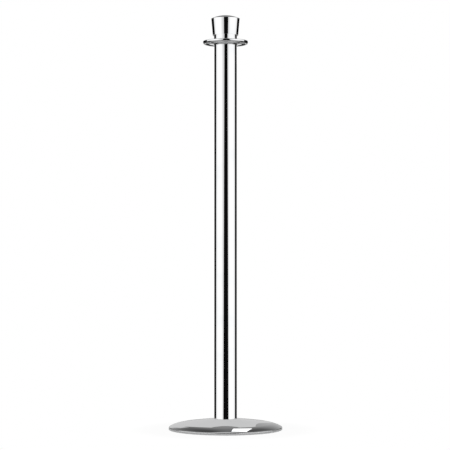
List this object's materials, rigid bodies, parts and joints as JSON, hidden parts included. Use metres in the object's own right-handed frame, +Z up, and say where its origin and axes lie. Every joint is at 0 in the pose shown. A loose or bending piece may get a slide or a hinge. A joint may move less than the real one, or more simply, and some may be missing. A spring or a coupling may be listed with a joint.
{
  "type": "rope barrier post",
  "caption": "Crown-top rope barrier post: round weighted base, plain 2 in tube, slotted rope ring that turns, and a flared crown that screws off the tie rod.",
  "frame": {"origin": "middle of the rubber ring's footprint, on the floor", "axes": "+Z up the tube's axis; +X and +Y lie along two spokes of the rope ring, and -Y is the front"},
  "size_m": [0.254, 0.254, 0.9295],
  "materials": {
    "polished_chrome": "mirror polished chrome plate over steel or brass",
    "cast_iron": "black painted grey iron casting",
    "zinc_steel": "bright zinc plated steel",
    "turned_brass": "turned brass",
    "nylon": "natural nylon",
    "rubber": "matt black rubber"
  },
  "bodies": {
    "root": {"ring_collar": "polished_chrome", "top_plug": "zinc_steel", "top_nut": "zinc_steel", "top_washer": "zinc_steel", "tie_rod": "zinc_steel", "post_tube": "polished_chrome", "base_cover": "polished_chrome", "base_weight": "cast_iron", "rod_washer": "zinc_steel", "lock_washer": "zinc_steel", "rod_nut": "zinc_steel", "floor_ring": "rubber"},
    "ring": {"rope_ring": "polished_chrome", "ring_bush": "nylon"},
    "crown_seat": {"crown_washer": "nylon"},
    "crown": {"crown_cap": "polished_chrome", "crown_plug": "turned_brass"}
  },
  "joints": [
    {"name": "ring_turn", "type": "hinge", "parent": "root", "child": "ring", "pos_m": [0, 0, 0.8688], "axis": [0, 0, 1], "continuous": true},
    {"name": "crown_lift", "type": "slide", "parent": "root", "child": "crown_seat", "axis": [0, 0, 1], "range_m": [0, 0.015]},
    {"name": "crown_unscrew", "type": "hinge", "parent": "crown_seat", "child": "crown", "pos_m": [0, 0, 0.881], "axis": [0, 0, 1], "range_deg": [0, 3600]}
  ],
  "couplings": [
    {"joint": "crown_lift", "follows": "crown_unscrew", "m_per_rad": 0.00023873}
  ]
}
